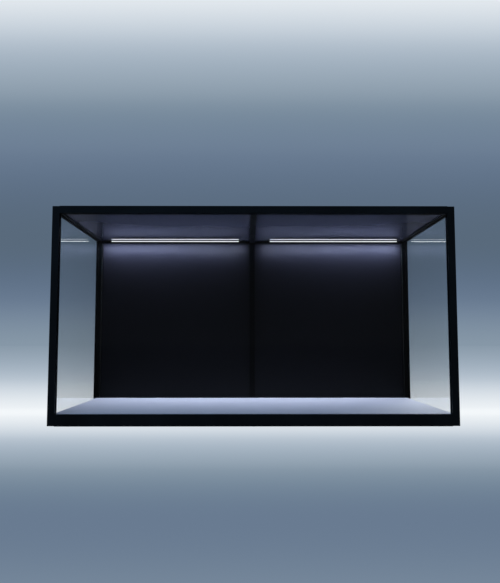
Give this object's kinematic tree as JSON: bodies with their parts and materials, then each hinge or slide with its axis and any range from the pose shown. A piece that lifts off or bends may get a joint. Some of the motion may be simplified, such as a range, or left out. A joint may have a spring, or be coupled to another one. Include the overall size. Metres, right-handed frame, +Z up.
{
  "type": "tabletop display case",
  "caption": "Long tabletop display case with a black frame, clear front and side panes, opaque roof, white deck, linear lights along the rear top rail and hinged, lockable rear doors.",
  "frame": {"origin": "centre of the footprint on the surface the case stands on", "axes": "+Z up, +X along the width, the front pane faces -Y and the doors open towards +Y"},
  "size_m": [1.2, 0.57, 0.65],
  "materials": {
    "frame_black": "satin black powder coat",
    "pan_black": "matte black powder coat",
    "rubber_black": "matte",
    "aluminium_mill": "mill finish",
    "screw_steel": "bright",
    "deck_white": "smooth matt white laminate",
    "ceiling_satin": "satin charcoal",
    "clear_glass": "polished",
    "channel_black": "black anodised",
    "board_white": "white solder mask",
    "light_chip": "phosphor",
    "opal_diffuser": "opal, lit",
    "driver_white": "moulded",
    "loom_black": "matte",
    "entry_plastic": "fine texture",
    "rocker_plastic": "gloss",
    "bush_nylon": "natural",
    "door_black": "satin black compact laminate",
    "pivot_steel": "ground",
    "lock_steel": "satin chrome",
    "pull_steel": "brushed"
  },
  "bodies": {
    "case": {"base_rail_front": "frame_black", "base_rail_rear": "frame_black", "base_rail_left": "frame_black", "base_rail_right": "frame_black", "base_pan": "pan_black", "base_pads": "rubber_black", "deck_bearers": "aluminium_mill", "deck_panel": "deck_white", "post_front_left": "frame_black", "post_front_right": "frame_black", "post_rear_left": "frame_black", "post_rear_right": "frame_black", "post_rear_centre": "frame_black", "top_rail_front": "frame_black", "top_rail_rear": "frame_black", "top_rail_left": "frame_black", "top_rail_right": "frame_black", "roof_beam": "frame_black", "ceiling_panel_left": "ceiling_satin", "ceiling_panel_right": "ceiling_satin", "roof_panel": "frame_black", "panel_screws": "screw_steel", "base_spigots": "aluminium_mill", "top_spigots": "aluminium_mill", "base_spigot_screws": "screw_steel", "top_spigot_screws": "screw_steel", "glass_front": "clear_glass", "glass_left": "clear_glass", "glass_right": "clear_glass", "gasket_front": "rubber_black", "gasket_sides": "rubber_black", "light_channel_left": "channel_black", "light_channel_right": "channel_black", "light_board_left": "board_white", "light_board_right": "board_white", "light_chips": "light_chip", "light_diffuser_left": "opal_diffuser", "light_diffuser_right": "opal_diffuser", "light_blanks": "channel_black", "light_driver": "driver_white", "light_loom": "loom_black", "service_cup": "entry_plastic", "cord_gland": "entry_plastic", "switch_housing": "entry_plastic", "door_seal_left": "rubber_black", "door_seal_right": "rubber_black", "pivot_bushes": "bush_nylon"},
    "door_left": {"door_panel_left": "door_black", "door_pivots_left": "pivot_steel", "lock_body_left": "lock_steel", "door_pull_left": "pull_steel"},
    "door_right": {"door_panel_right": "door_black", "door_pivots_right": "pivot_steel", "lock_body_right": "lock_steel", "door_pull_right": "pull_steel"},
    "lock_left": {"lock_plug_left": "lock_steel", "lock_cam_left": "lock_steel"},
    "lock_right": {"lock_plug_right": "lock_steel", "lock_cam_right": "lock_steel"},
    "rocker": {"switch_rocker": "rocker_plastic"}
  },
  "joints": [
    {"name": "door_left_swing", "type": "hinge", "parent": "case", "child": "door_left", "pos_m": [-0.5722, 0.276, 0.3314], "axis": [0, 0, 1], "range_deg": [0, 90]},
    {"name": "door_right_swing", "type": "hinge", "parent": "case", "child": "door_right", "pos_m": [0.5722, 0.276, 0.3314], "axis": [0, 0, -1], "range_deg": [0, 90]},
    {"name": "lock_left_turn", "type": "hinge", "parent": "door_left", "child": "lock_left", "pos_m": [-0.0182, 0.2746, 0.33], "axis": [0, -1, 0], "range_deg": [0, 90]},
    {"name": "lock_right_turn", "type": "hinge", "parent": "door_right", "child": "lock_right", "pos_m": [0.0182, 0.2746, 0.33], "axis": [0, 1, 0], "range_deg": [0, 90]},
    {"name": "switch_rock", "type": "hinge", "parent": "case", "child": "rocker", "pos_m": [0.157, 0.2775, 0.018], "axis": [0, 0, -1], "range_deg": [0, 16]}
  ]
}
